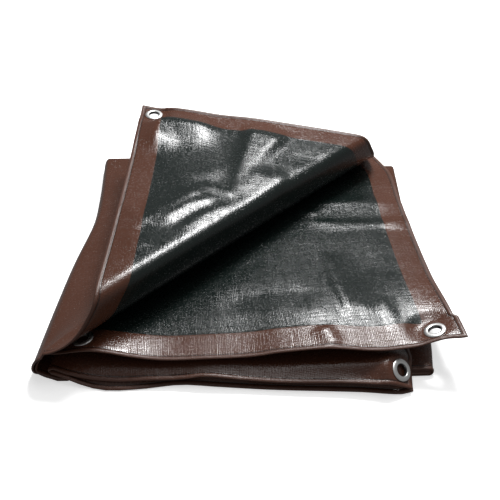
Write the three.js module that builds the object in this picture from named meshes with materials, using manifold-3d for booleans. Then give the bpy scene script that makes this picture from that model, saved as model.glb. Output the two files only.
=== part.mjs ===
// Folded poly tarp, in millimetres, +Z up, front towards -Y.
// The sheet is brown on one face and dark green on the other, with a brown hem all round.
// It is folded in half, which puts its green face inside and two hem edges at the front, and then
// folded in half twice more. Eight layers lie on each other, and the top layer's corner is turned back.
import * as THREE from "three";
import { mergeVertices } from "three/addons/utils/BufferGeometryUtils.js";
import Module from "manifold-3d";

const wasm = await Module();
wasm.setup();

// Cloth, hem and clearance
const CLOTH = 1.2;
const HEM = 31;
const GAP = 0.3;
const SEAM = 0.4;
const LAYER_PITCH = 2.4;

// Eyelets: a flange on each face, a barrel through the hem and a clear bore
const EYELET = { outer: 22, bore: 11.6, barrel: 13.2, dome: 1.5, back: 1.1, facets: 20 };

// The pack: how far back it reaches, and the ends of its layers from front to rear
const REAR_LEFT = 198;
const REAR_RIGHT = 201;
const DEPTH = 384;
const INNER_FOLD_INSET = 21;
const LOWER_END_FRONT = 156;
const LOWER_END_REAR = 168;
// How far the front hem of the top layer stands out past its side hem
const HEM_TAB = 4;

// Left turn of the top panel: how far it bulges, and how far its top and foot stay inside the outline
const TURN_BULGE = 5;
const TURN_FOOT = 3;
const turnTopInset = (q) => mix(13, 5, q);
const turnFootInset = (q) => mix(3, 5, q);

// Outline of the left side, from front to rear
const LEFT_SIDE = [
  { y: -176, x: -210.5 },
  { y: -129, x: -209 },
  { y: -61, x: -205 },
  { y: -15, x: -201 },
  { y: 58, x: -192 },
  { y: 115, x: -193.5 },
  { y: 196, x: -200 },
];

// Right fold of the lowest panels, from front to rear
const RIGHT_FOLD = [
  { y: -180, x: 174.5 },
  { y: -134, x: 181 },
  { y: 0, x: 188 },
  { y: 196, x: 197 },
];

// Mid-height of each pressed layer, counted up from the surface it rests on
const layerHeight = (count) => CLOTH / 2 + count * LAYER_PITCH;

// The turned-back corner: a roll along a slanting line, which starts flat, turns over and runs back
const ROLL = {
  x: -192.7,
  y: -179.1,
  angle: 46.2,
  length: 502,
  radiusFront: 23.9,
  radiusRear: 26.8,
  climbFront: -1.5,
  climbRear: 9.4,
  height: 36.6,
};
const FLAP_CORNER = { x: 226.9, y: -166.4, frontSlope: 3 };
const FLAP_END_REAR = 158;

// Front edge of the green-faced top layer: its place and its height, which rises and falls
const TOP_FRONT = [
  { x: -204, y: -179, z: 28 },
  { x: -147, y: -180, z: 32 },
  { x: -116, y: -181, z: 26 },
  { x: -86, y: -182, z: 23 },
  { x: -41, y: -182, z: 25 },
  { x: 0, y: -182, z: 28 },
  { x: 30, y: -181, z: 33 },
  { x: 75, y: -181, z: 38 },
  { x: 121, y: -181, z: 35 },
  { x: 150, y: -177, z: 34.5 },
  { x: 177, y: -174.5, z: 38.5 },
  { x: 202, y: -174, z: 47 },
];

// Right end of the same layer, from front to rear, with its height
const TOP_END = [
  { y: -174, x: 202, z: 47 },
  { y: -140, x: 199, z: 43 },
  { y: -70, x: 194, z: 36 },
  { y: 12, x: 190, z: 32 },
  { y: 82, x: 187, z: 31 },
  { y: 145, x: 185, z: 30 },
  { y: 175, x: 177, z: 28 },
  { y: 201, x: 168, z: 27 },
];

// Front edge of the brown-faced lower layer, which droops in front of the layers under it
const LOWER_FRONT = [
  { x: -192, y: -183, z: 12 },
  { x: -175, y: -188.5, z: 9.3 },
  { x: -150, y: -193, z: 7 },
  { x: -124, y: -194, z: 5 },
  { x: -94, y: -194, z: 7.5 },
  { x: -68, y: -194, z: 8.5 },
  { x: -43, y: -194, z: 13.5 },
  { x: -10, y: -196, z: 11 },
  { x: 31, y: -199, z: 10 },
  { x: 93, y: -201, z: 12 },
  { x: 123, y: -204, z: 13.2 },
  { x: 145, y: -204, z: 10.3 },
  { x: 156, y: -203.5, z: 7 },
];
// Ridge behind that edge, measured up from the flat layer
const LOWER_RIDGE = [
  { x: -192, rise: 0 },
  { x: -90, rise: 0 },
  { x: -32, rise: 4 },
  { x: 20, rise: 2 },
  { x: 95, rise: 6 },
  { x: 128, rise: 8 },
  { x: 156, rise: 1 },
];

// Front edge of the layer under it, which comes down to the surface
const APRON_FRONT = [
  { x: -198, y: -184 },
  { x: -189, y: -188 },
  { x: -177, y: -191.5 },
  { x: -154, y: -196.5 },
  { x: -135, y: -200 },
  { x: -103, y: -198 },
  { x: -67, y: -193 },
  { x: -30, y: -195.5 },
  { x: 20, y: -199 },
  { x: 107, y: -202 },
  { x: 143, y: -204.5 },
  { x: 157, y: -200.5 },
];

// Front edges of the two hidden panels, the lowest one and the one folded over it
const BOTTOM_FRONT = [
  { x: -212, y: -176.5 },
  { x: -201, y: -182.5 },
  { x: -194, y: -185 },
  { x: -186, y: -188 },
  { x: -178, y: -188 },
  { x: -165, y: -183 },
  { x: -140, y: -178 },
  { x: 100, y: -178 },
  { x: 160, y: -182.5 },
  { x: 182, y: -179.5 },
];
const MIDDLE_FRONT = [
  { x: -190, y: -183 },
  { x: -180, y: -176 },
  { x: -150, y: -166 },
  { x: -110, y: -163 },
  { x: 60, y: -171 },
  { x: 162, y: -181 },
  { x: 182, y: -178.5 },
];

// Hem strips that hold eyelets: each is one panel's front hem on one of the two sheets
const STRIPS = {
  hem_flap: { section: "top", outer: true },
  hem_top: { section: "top", outer: false },
  hem_lower: { section: "lower", outer: false },
};
// Eyelets: how far along the section and back from the edge they sit, and how their tops lean
const EYELETS = [
  { name: "eyelet_flap", strip: "hem_flap", share: 0.041, back: 17.5, leanX: 0.06, leanY: -0.08 },
  { name: "eyelet_corner", strip: "hem_top", share: 0.058, back: 16.5, leanX: -0.35, leanY: 0.17 },
  { name: "eyelet_front", strip: "hem_top", share: 0.919, back: 19, leanX: -0.13, leanY: 0.1 },
  { name: "eyelet_lower", strip: "hem_lower", share: 0.964, back: 14.5, leanX: 0.66, leanY: -0.55 },
];
// The cloth is pressed flat around an eyelet, out to the first radius, and eases off to the second
const SEAT_FLAT = 13;
const SEAT_END = 30;
// How far the sheet under the lower eyelet keeps from the middle of the hem
const SEAT_CLEAR = 3.6;

// Columns of the folded strip: panels and turns in the order in which the cloth runs, with closer
// columns where a front edge curves most
const SECTIONS = [
  { name: "top", steps: 25, closer: [] },
  { name: "outerTurn", steps: 6, closer: [] },
  { name: "bottom", steps: 4, closer: [0.03, 0.06, 0.1, 0.15] },
  { name: "rightTurn", steps: 4, closer: [] },
  { name: "middle", steps: 4, closer: [0.9, 0.96] },
  { name: "innerTurn", steps: 4, closer: [] },
  { name: "lower", steps: 13, closer: [] },
];
// Distances back from the front edge at which the cloth is sampled
const HEM_ROWS = [0, 8, 16, 24, HEM, HEM + SEAM];
const OUTER_ROW_STEPS = 17;
const INNER_ROW_STEPS = 9;
const REAR_FOLD_STEPS = 4;
// How far the hem strips with eyelets stop short of the turns at their left ends
const STRIP_START = 12;

const mix = (a, b, t) => a + (b - a) * t;
const clamp = (value, low, high) => Math.min(Math.max(value, low), high);
const radians = THREE.MathUtils.degToRad;
function ease(value, low, high) {
  const t = clamp((value - low) / (high - low), 0, 1);
  return t * t * (3 - 2 * t);
}

// Smooth curve through the rows of a table: the value of one column where another has a given value
function curveThrough(rows, key, place, column) {
  const last = rows.length - 1;
  const slope = (i) => {
    const a = rows[Math.max(i - 1, 0)];
    const b = rows[Math.min(i + 1, last)];
    return (b[column] - a[column]) / (b[key] - a[key]);
  };
  const at = clamp(place, rows[0][key], rows[last][key]);
  let i = 0;
  while (i < last - 1 && at > rows[i + 1][key]) i += 1;
  const width = rows[i + 1][key] - rows[i][key];
  const t = (at - rows[i][key]) / width;
  const rise = t * t * (3 - 2 * t);
  const leave = t * (1 - t) * (1 - t) * width * slope(i);
  const arrive = t * t * (1 - t) * width * slope(i + 1);
  return mix(rows[i][column], rows[i + 1][column], rise) + leave - arrive;
}

// The slanting line of the roll
const rollAlong = new THREE.Vector2(Math.cos(radians(ROLL.angle)), Math.sin(radians(ROLL.angle)));
const rollAcross = new THREE.Vector2(rollAlong.y, -rollAlong.x);
const pastRoll = (x, y) => (x - ROLL.x) * rollAcross.x + (y - ROLL.y) * rollAcross.y;
const rollLineX = (y) => ROLL.x - ((y - ROLL.y) * rollAcross.y) / rollAcross.x;

// Turn a point of the flat top layer over the roll
function rollOver(point) {
  const past = pastRoll(point.x, point.y);
  if (past <= 0) return point;
  const run = (point.x - ROLL.x) * rollAlong.x + (point.y - ROLL.y) * rollAlong.y;
  const share = clamp(run / ROLL.length, 0, 1);
  const radius = mix(ROLL.radiusFront, ROLL.radiusRear, share);
  const climb = radians(mix(ROLL.climbFront, ROLL.climbRear, share));
  const fullTurn = Math.PI - climb;
  const turned = Math.min(past / radius, fullTurn);
  const straight = Math.max(past - radius * fullTurn, 0);
  const across = radius * Math.sin(turned) - straight * Math.cos(climb);
  const up = radius * (1 - Math.cos(turned)) + straight * Math.sin(climb);
  return new THREE.Vector3(
    ROLL.x + run * rollAlong.x + across * rollAcross.x,
    ROLL.y + run * rollAlong.y + across * rollAcross.y,
    point.z + up,
  );
}

// Rear fold of the whole pack, and the top of the left turn, which sinks towards the rear
const rearOf = (share) => mix(REAR_LEFT, REAR_RIGHT, share);
const leftSide = (y) => curveThrough(LEFT_SIDE, "y", y, "x");
const leftTop = (back) => 20 + 11 * Math.exp(-back / 55);

// Top panel. Its outer sheet is the one that is turned back, its inner sheet lies green face up
function topPanel(outer, share, back) {
  const q = back / DEPTH;
  const leftFront = LEFT_SIDE[0].x + turnTopInset(0);
  if (outer) {
    const front = mix(leftFront, FLAP_CORNER.x, share);
    const yFront = FLAP_CORNER.y - (FLAP_CORNER.x - front) * Math.tan(radians(FLAP_CORNER.frontSlope));
    const y = mix(yFront, rearOf(share), q);
    const left = leftSide(y) + turnTopInset(q);
    const x = mix(left, mix(FLAP_CORNER.x, FLAP_END_REAR, q), share);
    const towardsRoll = clamp((x - left) / Math.max(rollLineX(y) - left, 1), 0, 1);
    const z = mix(leftTop(back), ROLL.height, ease(towardsRoll, 0, 1));
    return rollOver(new THREE.Vector3(x, y, z));
  }
  const front = mix(leftFront, TOP_FRONT.at(-1).x, share);
  const y = mix(curveThrough(TOP_FRONT, "x", front, "y"), rearOf(share), q);
  const left = leftSide(y) + turnTopInset(q) + LAYER_PITCH;
  const end = curveThrough(TOP_END, "y", y, "x") + (back <= HEM ? HEM_TAB * ease(share, 0.9, 1) : 0);
  const x = mix(left, end, share);
  const atTurn = leftTop(back) - LAYER_PITCH;
  const inside = mix(atTurn, curveThrough(TOP_END, "y", y, "z"), ease(share, 0, 0.7));
  const level = mix(curveThrough(TOP_FRONT, "x", front, "z"), inside, ease(back, 0, 110));
  return new THREE.Vector3(x, y, mix(atTurn, level, ease(share, 0, 0.1)));
}

// Half turn between two panels, leaning out towards its foot
function halfTurn(from, to, angle, bulge, lean) {
  const down = (1 - Math.cos(angle)) / 2;
  return new THREE.Vector3(
    mix(from.x, to.x, down) + bulge * Math.sin(angle) + lean * Math.sin(angle) * down,
    mix(from.y, to.y, down),
    mix(from.z, to.z, down),
  );
}

const foldRight = (q) => curveThrough(RIGHT_FOLD, "y", mix(BOTTOM_FRONT.at(-1).y, REAR_RIGHT, q), "x");
const sideAt = (q) => leftSide(mix(BOTTOM_FRONT[0].y, REAR_LEFT, q));
const bottomLeft = (q) => sideAt(q) + turnFootInset(q);
const innerFold = (q) => sideAt(q) + INNER_FOLD_INSET;

function flatPanel(front, x, q, z) {
  const share = ease(x, LEFT_SIDE[0].x, RIGHT_FOLD[0].x);
  return new THREE.Vector3(x, mix(curveThrough(front, "x", x, "y"), rearOf(share) - 2, q), z);
}

// Lowest panel, the panel folded back over it, and the lower panel whose two sheets show at the front
const bottomPanel = (outer, share, back) => {
  const q = back / DEPTH;
  const x = mix(bottomLeft(q) + (outer ? 0 : LAYER_PITCH), foldRight(q), share);
  return flatPanel(BOTTOM_FRONT, x, q, layerHeight(outer ? 0 : 1));
};
const middlePanel = (outer, share, back) => {
  const q = back / DEPTH;
  return flatPanel(MIDDLE_FRONT, mix(foldRight(q), innerFold(q), share), q, layerHeight(outer ? 3 : 2));
};
function lowerPanel(outer, share, back) {
  const q = back / DEPTH;
  const x = mix(innerFold(q), mix(LOWER_END_FRONT, LOWER_END_REAR, q), share);
  const front = outer ? APRON_FRONT : LOWER_FRONT;
  const point = flatPanel(front, x, q, layerHeight(outer ? 4.6 : 5.6));
  const rise = curveThrough(LOWER_RIDGE, "x", x, "rise");
  const level = point.z + rise * (1 - ease(back, 34, 90)) * ease(back, 0, 20);
  const apronEdge = mix(9.8, layerHeight(0), ease(x - innerFold(q), 0, 40));
  const edge = outer ? apronEdge : curveThrough(LOWER_FRONT, "x", x, "z");
  point.z = mix(edge, level, outer ? ease(back, -2, 23) : ease(back, -6, 20));
  return point;
}

// A point of the folded sheet: which section, how far along it, which sheet, how far from the front edge
function clothPoint(name, share, outer, back) {
  const at = (panel, where) => panel(outer, where, back);
  const angle = share * Math.PI;
  if (name === "top") return at(topPanel, 1 - share);
  if (name === "bottom") return at(bottomPanel, share);
  if (name === "middle") return at(middlePanel, share);
  if (name === "lower") return at(lowerPanel, share);
  const thick = LAYER_PITCH / 2;
  if (name === "outerTurn") {
    const bulge = outer ? TURN_BULGE : TURN_BULGE - thick;
    return halfTurn(at(topPanel, 0), at(bottomPanel, 0), angle, -bulge, -TURN_FOOT);
  }
  if (name === "rightTurn") {
    return halfTurn(at(bottomPanel, 1), at(middlePanel, 0), angle, outer ? 3 * thick : thick, 0);
  }
  return halfTurn(at(middlePanel, 1), at(lowerPanel, 0), angle, outer ? -2.2 * thick : -4.4 * thick, 0);
}

// Places of the eyelets, and the cloth pressed flat around them
const seats = EYELETS.map(({ name, strip, share, back, leanX, leanY }) => {
  const { section, outer } = STRIPS[strip];
  const position = clothPoint(section, share, outer, back);
  return { name, strip, section, outer, position, up: new THREE.Vector3(leanX, leanY, 1).normalize() };
});
function pressFlat(name, outer, point) {
  for (const seat of seats.filter((entry) => entry.section === name)) {
    const away = point.clone().sub(seat.position);
    const hold = 1 - ease(away.length(), SEAT_FLAT, SEAT_END);
    const above = away.dot(seat.up);
    if (seat.outer === outer) point.addScaledVector(seat.up, -hold * above);
    else if (name === "lower") {
      const sink = (hold * Math.max(above + SEAT_CLEAR, 0)) / seat.up.z;
      point.z = Math.max(point.z - sink, layerHeight(0));
    }
  }
  return point;
}

// Rows over the outer sheet, round the rear fold and forward along the inner sheet
function rowPoint(name, share, row) {
  if (row.turn === undefined) return pressFlat(name, row.outer, clothPoint(name, share, row.outer, row.back));
  const a = clothPoint(name, share, true, DEPTH);
  const b = clothPoint(name, share, false, DEPTH);
  const centre = a.clone().add(b).multiplyScalar(0.5);
  const half = a.clone().sub(b).multiplyScalar(0.5);
  centre.addScaledVector(half, Math.cos(row.turn));
  centre.y += half.length() * Math.sin(row.turn);
  return centre;
}
// Rows behind the hem, closer together near it
function rowsBack(steps) {
  const behind = Array.from({ length: steps }, (_, i) => {
    const t = (i + 1) / steps;
    return mix(HEM + SEAM, DEPTH, mix(t, t * t, 0.3));
  });
  return [...HEM_ROWS, ...behind];
}
const OUTER_ROWS = rowsBack(OUTER_ROW_STEPS);
const INNER_ROWS = rowsBack(INNER_ROW_STEPS);
const rows = [
  ...OUTER_ROWS.map((back) => ({ outer: true, back })),
  ...Array.from({ length: REAR_FOLD_STEPS - 1 }, (_, i) => ({ turn: (Math.PI * (i + 1)) / REAR_FOLD_STEPS })),
  ...INNER_ROWS.map((back) => ({ outer: false, back })).reverse(),
];

// Columns along the strip, with a narrow one where a hem strip ends
const columns = [];
for (const { name, steps, closer } of SECTIONS) {
  const panelLength = { top: FLAP_CORNER.x - LEFT_SIDE[0].x, lower: LOWER_END_FRONT - innerFold(0) }[name];
  const besideEyelets = EYELETS.filter(({ strip }) => STRIPS[strip].section === name).flatMap(({ share }) => [
    share - SEAT_FLAT / panelLength,
    share + SEAT_FLAT / panelLength,
  ]);
  const extra = [...closer, ...besideEyelets];
  if (name === "top") extra.push(1 - STRIP_START / panelLength, 1 - (STRIP_START - GAP) / panelLength);
  if (name === "lower") extra.push(STRIP_START / panelLength, (STRIP_START + GAP) / panelLength);
  const placed = extra.filter((share) => share > 0 && share < 1);
  const even = Array.from({ length: steps + 1 }, (_, i) => i / steps);
  const spaced = (share) => placed.every((other) => Math.abs(other - share) > 0.3 / steps);
  const isClear = (share) => share === 0 || share === 1 || spaced(share);
  const shares = [...placed, ...even.filter(isClear)].sort((a, b) => a - b);
  for (const share of shares) if (share > 0 || !columns.length) columns.push({ name, share });
}

// Point and facing of the cloth at a column and row
const STEP = 0.002;
function slopeAlong(column, row) {
  const before = rowPoint(column.name, Math.max(column.share - STEP, 0), row);
  return rowPoint(column.name, Math.min(column.share + STEP, 1), row).sub(before);
}
function slopeBack(column, row) {
  const reach = 0.5;
  if (row.turn !== undefined) {
    const before = rowPoint(column.name, column.share, { turn: Math.max(row.turn - 0.05, 0) });
    return rowPoint(column.name, column.share, { turn: Math.min(row.turn + 0.05, Math.PI) }).sub(before);
  }
  const nearer = rowPoint(column.name, column.share, { ...row, back: Math.max(row.back - reach, 0) });
  const further = rowPoint(column.name, column.share, { ...row, back: Math.min(row.back + reach, DEPTH) });
  return row.outer ? further.sub(nearer) : nearer.sub(further);
}
const facing = (column, row) => slopeBack(column, row).cross(slopeAlong(column, row)).normalize();
const grid = columns.map((column) =>
  rows.map((row) => ({ point: rowPoint(column.name, column.share, row), normal: facing(column, row) })),
);

// Closed solid of one cloth thickness over the cells that a test picks
function clothSolid(picked) {
  const positions = [];
  const quad = (a, b, c, d) => {
    for (const p of [a, b, c, a, c, d]) positions.push(p.x, p.y, p.z);
  };
  const skin = (i, j, side) => {
    const { point, normal } = grid[i][j];
    return point.clone().addScaledVector(normal, (side * CLOTH) / 2);
  };
  const inside = (i, j) => i >= 0 && j >= 0 && i < columns.length - 1 && j < rows.length - 1 && picked(i, j);
  for (let i = 0; i < columns.length - 1; i += 1) {
    for (let j = 0; j < rows.length - 1; j += 1) {
      if (!inside(i, j)) continue;
      quad(skin(i + 1, j, 1), skin(i, j, 1), skin(i, j + 1, 1), skin(i + 1, j + 1, 1));
      quad(skin(i, j + 1, -1), skin(i, j, -1), skin(i + 1, j, -1), skin(i + 1, j + 1, -1));
      const wall = (i0, j0, i1, j1) => {
        quad(skin(i0, j0, 1), skin(i1, j1, 1), skin(i1, j1, -1), skin(i0, j0, -1));
      };
      if (!inside(i - 1, j)) wall(i, j + 1, i, j);
      if (!inside(i + 1, j)) wall(i + 1, j, i + 1, j + 1);
      if (!inside(i, j - 1)) wall(i, j, i + 1, j);
      if (!inside(i, j + 1)) wall(i + 1, j + 1, i, j + 1);
    }
  }
  const geometry = new THREE.BufferGeometry();
  geometry.setAttribute("position", new THREE.Float32BufferAttribute(positions, 3));
  return geometry;
}

// Which cells belong to a hem strip with eyelets, and which to the clearance beside it
const isOnSheet = (j, outer) => rows[j].outer === outer && rows[j + 1].outer === outer;
const isHemRow = (j, outer) => isOnSheet(j, outer) && Math.max(rows[j].back, rows[j + 1].back) <= HEM;
const isSeamRow = (j, outer) => isOnSheet(j, outer) && Math.abs(rows[j].back - rows[j + 1].back) < 2 * SEAM;
const stripSpan = (name) => {
  const inSection = columns.map((column, i) => (column.name === name ? i : -1)).filter((i) => i >= 0);
  return name === "top" ? [0, inSection.at(-1) - 2] : [inSection[0] + 1, inSection.at(-1)];
};
function inStrip(i, j, strip) {
  const [first, end] = stripSpan(strip.section);
  return i >= first && i < end && isHemRow(j, strip.outer);
}
function besideStrip(i, j, strip) {
  const [first, end] = stripSpan(strip.section);
  const low = strip.section === "top" ? first : first - 1;
  const high = strip.section === "top" ? end + 1 : end;
  return i >= low && i < high && (isHemRow(j, strip.outer) || isSeamRow(j, strip.outer));
}

// Solids for cutting
function toSolid(geometry) {
  const merged = mergeVertices(geometry, 1e-4);
  return new wasm.Manifold(
    new wasm.Mesh({
      numProp: 3,
      vertProperties: merged.attributes.position.array,
      triVerts: new Uint32Array(merged.index.array),
    }),
  );
}
function bare(geometry) {
  geometry.deleteAttribute("normal");
  geometry.deleteAttribute("uv");
  return geometry;
}
function toGeometry(solid) {
  const mesh = solid.getMesh();
  const geometry = new THREE.BufferGeometry();
  geometry.setAttribute("position", new THREE.Float32BufferAttribute(mesh.vertProperties, 3));
  geometry.setIndex(new THREE.Uint32BufferAttribute(mesh.triVerts, 1));
  return geometry;
}

// Eyelet with its bore on its own Y axis, and the room that the hem leaves for it
const half = CLOTH / 2;
function eyeletShape() {
  const bore = EYELET.bore / 2;
  const barrel = EYELET.barrel / 2;
  const rim = EYELET.outer / 2;
  const seat = half + GAP;
  const profile = [
    [bore, -seat - 0.4],
    [bore + 1.6, -seat - EYELET.back],
    [rim - 0.9, -seat - EYELET.back * 0.9],
    [rim, -seat - 0.3],
    [rim - 0.5, -seat],
    [barrel, -seat],
    [barrel, seat],
    [rim - 0.5, seat],
    [rim, seat + 0.4],
    [rim - 1.4, seat + EYELET.dome * 0.85],
    [rim - 3, seat + EYELET.dome],
    [bore + 1, seat + EYELET.dome * 0.75],
    [bore, seat - 0.2],
  ];
  const points = [...profile, profile[0]].map(([r, h]) => new THREE.Vector2(r, h));
  return new THREE.LatheGeometry(points, EYELET.facets);
}
function eyeletRoom() {
  const hole = EYELET.barrel / 2 + GAP;
  const flange = EYELET.outer / 2 + GAP;
  const reach = 6;
  const profile = [
    [0, -reach],
    [flange, -reach],
    [flange, -half],
    [hole, -half],
    [hole, half],
    [flange, half],
    [flange, reach],
    [0, reach],
  ];
  return new THREE.LatheGeometry(profile.map(([r, h]) => new THREE.Vector2(r, h)), EYELET.facets);
}

function eyeletPlace({ position, up }) {
  const quaternion = new THREE.Quaternion().setFromUnitVectors(new THREE.Vector3(0, 1, 0), up);
  return new THREE.Matrix4().compose(position, quaternion, new THREE.Vector3(1, 1, 1));
}

const CLOTH_GREEN = 0x243330;
const HEM_BROWN = 0x553a33;
const ALUMINIUM = 0xc9ccca;
const clothMaterial = new THREE.MeshStandardMaterial({ color: CLOTH_GREEN, roughness: 0.4 });
const hemMaterial = new THREE.MeshStandardMaterial({ color: HEM_BROWN, roughness: 0.42 });
const metalMaterial = new THREE.MeshStandardMaterial({ color: ALUMINIUM, roughness: 0.25, metalness: 0.9 });

const tarp = new THREE.Group();
function addPiece(name, geometry, finish, matrix) {
  const mesh = new THREE.Mesh(geometry, finish);
  mesh.name = name;
  if (matrix) mesh.applyMatrix4(matrix);
  tarp.add(mesh);
}

const stripList = Object.values(STRIPS);
const isSheetCell = (i, j) => !stripList.some((strip) => besideStrip(i, j, strip));
addPiece("tarp_sheet", clothSolid(isSheetCell), clothMaterial);
for (const [name, strip] of Object.entries(STRIPS)) {
  let solid = toSolid(clothSolid((i, j) => inStrip(i, j, strip)));
  for (const seat of seats.filter((entry) => entry.strip === name)) {
    const room = bare(eyeletRoom()).applyMatrix4(eyeletPlace(seat));
    solid = solid.subtract(toSolid(room));
  }
  addPiece(name, toGeometry(solid), hemMaterial);
}
for (const seat of seats) addPiece(seat.name, bare(eyeletShape()), metalMaterial, eyeletPlace(seat));

// Stand the pack on the surface, with the origin under the middle of its box
const bounds = new THREE.Box3().setFromObject(tarp, true);
const middle = bounds.getCenter(new THREE.Vector3());
tarp.position.set(-middle.x, -middle.y, -bounds.min.z);

export default tarp;
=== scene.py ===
# %% [markdown]
# # A folded poly tarp
#
# The object is a sheet of woven polyethylene, brown on one face and dark green on the other. It is
# folded into eight layers, and the top layer's corner is turned back over a soft roll. The packed
# model gives the folds; this script dresses them with one fine sheet of cloth and four metal eyelets.
#
# The frame comes first. Everything below is in metres and in the frame of the imported model.

# %% Frame
import math

import bpy
import numpy as np
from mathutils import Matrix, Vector


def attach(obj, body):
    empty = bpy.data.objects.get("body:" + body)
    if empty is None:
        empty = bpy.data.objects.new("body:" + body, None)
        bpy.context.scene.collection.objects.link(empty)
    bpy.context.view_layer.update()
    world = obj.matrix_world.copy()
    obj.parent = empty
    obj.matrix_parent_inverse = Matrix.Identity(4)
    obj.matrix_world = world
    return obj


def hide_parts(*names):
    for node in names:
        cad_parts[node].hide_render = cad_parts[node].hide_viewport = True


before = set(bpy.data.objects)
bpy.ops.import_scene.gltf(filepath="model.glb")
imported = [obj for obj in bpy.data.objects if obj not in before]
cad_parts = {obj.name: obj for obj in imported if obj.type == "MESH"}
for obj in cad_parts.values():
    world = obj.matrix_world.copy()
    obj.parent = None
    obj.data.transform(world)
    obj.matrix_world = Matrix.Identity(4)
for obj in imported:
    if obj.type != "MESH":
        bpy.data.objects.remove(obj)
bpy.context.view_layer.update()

# %% [markdown]
# ## How the sheet is folded
#
# A folded sheet could be simulated, but eight layers that lie 2 mm apart rarely settle without
# passing through each other. Here each point of the flat sheet is sent straight to its place in the
# pack instead: a point has a section of the strip, a share along it and a distance back from the
# front edge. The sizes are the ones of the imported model, in millimetres: x runs to the right, y to the
# rear and z up. A table gives a line of the pack, such as where a hem's front edge runs or how high it
# lies, at a few places that were read off the photograph.

# %% Sizes of the folded pack, in millimetres
MM = 0.001
HEM = 31.0
LAYER_PITCH = 2.4
LOWEST_LAYER = 0.6
DEPTH = 384.0
REAR_LEFT, REAR_RIGHT = 198.0, 201.0
INNER_FOLD_INSET = 21.0
LOWER_END_FRONT, LOWER_END_REAR = 156.0, 168.0
HEM_TAB = 4.0
TURN_BULGE, TURN_FOOT = 5.0, 3.0
PACK_SHIFT = (2.841, -1.616)

# The pack's left side, its four-layer fold at the right, and the roll of the turned-back corner
LEFT_SIDE = {
    "y": [-176, -129, -61, -15, 58, 115, 196],
    "x": [-210.5, -209, -205, -201, -192, -193.5, -200],
}
RIGHT_FOLD = {"y": [-180, -134, 0, 196], "x": [174.5, 181, 188, 197]}
ROLL = {
    "x": -192.7,
    "y": -179.1,
    "angle": 46.2,
    "length": 502,
    "radius_front": 23.9,
    "radius_rear": 26.8,
    "climb_front": -1.5,
    "climb_rear": 9.4,
    "height": 36.6,
}
FLAP_CORNER = {"x": 226.9, "y": -166.4, "front_slope": 3.0}
FLAP_END_REAR = 158.0

# Front edges of the top, lower, bottom and middle layers, and the right end of the top layer
TOP_FRONT = {
    "x": [-204, -147, -116, -86, -41, 0, 30, 75, 121, 150, 177, 202],
    "y": [-179, -180, -181, -182, -182, -182, -181, -181, -181, -177, -174.5, -174],
    "z": [28, 32, 26, 23, 25, 28, 33, 38, 35, 34.5, 38.5, 47],
}
TOP_END = {
    "y": [-174, -140, -70, 12, 82, 145, 175, 201],
    "x": [202, 199, 194, 190, 187, 185, 177, 168],
    "z": [47, 43, 36, 32, 31, 30, 28, 27],
}
LOWER_FRONT = {
    "x": [-192, -175, -150, -124, -94, -68, -43, -10, 31, 93, 123, 145, 156],
    "y": [-183, -188.5, -193, -194, -194, -194, -194, -196, -199, -201, -204, -204, -203.5],
    "z": [12, 9.3, 7, 5, 7.5, 8.5, 13.5, 11, 10, 12, 13.2, 10.3, 7],
}
LOWER_RIDGE = {"x": [-192, -90, -32, 20, 95, 128, 156], "rise": [0, 0, 4, 2, 6, 8, 1]}
APRON_FRONT = {
    "x": [-198, -189, -177, -154, -135, -103, -67, -30, 20, 107, 143, 157],
    "y": [-184, -188, -191.5, -196.5, -200, -198, -193, -195.5, -199, -202, -204.5, -200.5],
}
BOTTOM_FRONT = {
    "x": [-212, -201, -194, -186, -178, -165, -140, 100, 160, 182],
    "y": [-176.5, -182.5, -185, -188, -188, -183, -178, -178, -182.5, -179.5],
}
MIDDLE_FRONT = {
    "x": [-190, -180, -150, -110, 60, 162, 182],
    "y": [-183, -176, -166, -163, -171, -181, -178.5],
}
STRIPS = {"hem_flap": ("top", True), "hem_top": ("top", False), "hem_lower": ("lower", False)}
EYELETS = [
    # name, hem strip, share along the strip, distance back from the edge, lean of its axis
    ("eyelet_flap", "hem_flap", 0.041, 17.5, (0.06, -0.08)),
    ("eyelet_corner", "hem_top", 0.058, 16.5, (-0.35, 0.17)),
    ("eyelet_front", "hem_top", 0.919, 19.0, (-0.13, 0.1)),
    ("eyelet_lower", "hem_lower", 0.964, 14.5, (0.66, -0.55)),
]
SEAT_FLAT, SEAT_END, SEAT_CLEAR = 13.0, 30.0, 3.6
print("tables for", len(EYELETS), "eyelets on", len(STRIPS), "hem strips")

# %% [markdown]
# A few helpers carry the whole shape: a linear mix, a soft step, and a smooth curve through the rows
# of a table. They take whole arrays, so that a panel of ten thousand points is placed in one go.

# %% Helpers for smooth values
def mix(a, b, t):
    return a + (b - a) * t


def ease(value, low, high):
    t = np.clip((value - low) / (high - low), 0, 1)
    return t * t * (3 - 2 * t)


def curve(table, key, place, column):
    """A table's column at any place along its key: a smooth curve through the rows."""
    keys = np.array(table[key], float)
    values = np.array(table[column], float)
    index = np.arange(len(keys))
    before = np.maximum(index - 1, 0)
    after = np.minimum(index + 1, len(keys) - 1)
    slopes = (values[after] - values[before]) / (keys[after] - keys[before])
    at = np.clip(place, keys[0], keys[-1])
    i = np.clip(np.searchsorted(keys, at) - 1, 0, len(keys) - 2)
    width = keys[i + 1] - keys[i]
    t = (at - keys[i]) / width
    leave = t * (1 - t) ** 2 * width * slopes[i]
    arrive = t * t * (1 - t) * width * slopes[i + 1]
    return mix(values[i], values[i + 1], ease(t, 0, 1)) + leave - arrive


def layer_height(count):
    return LOWEST_LAYER + count * LAYER_PITCH


def points(x, y, z):
    x, y, z = np.broadcast_arrays(x, y, z)
    return np.stack([x, y, z], -1).astype(float)


print("left side at the middle of the pack:", round(float(curve(LEFT_SIDE, "y", 0, "x")), 1), "mm")

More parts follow.
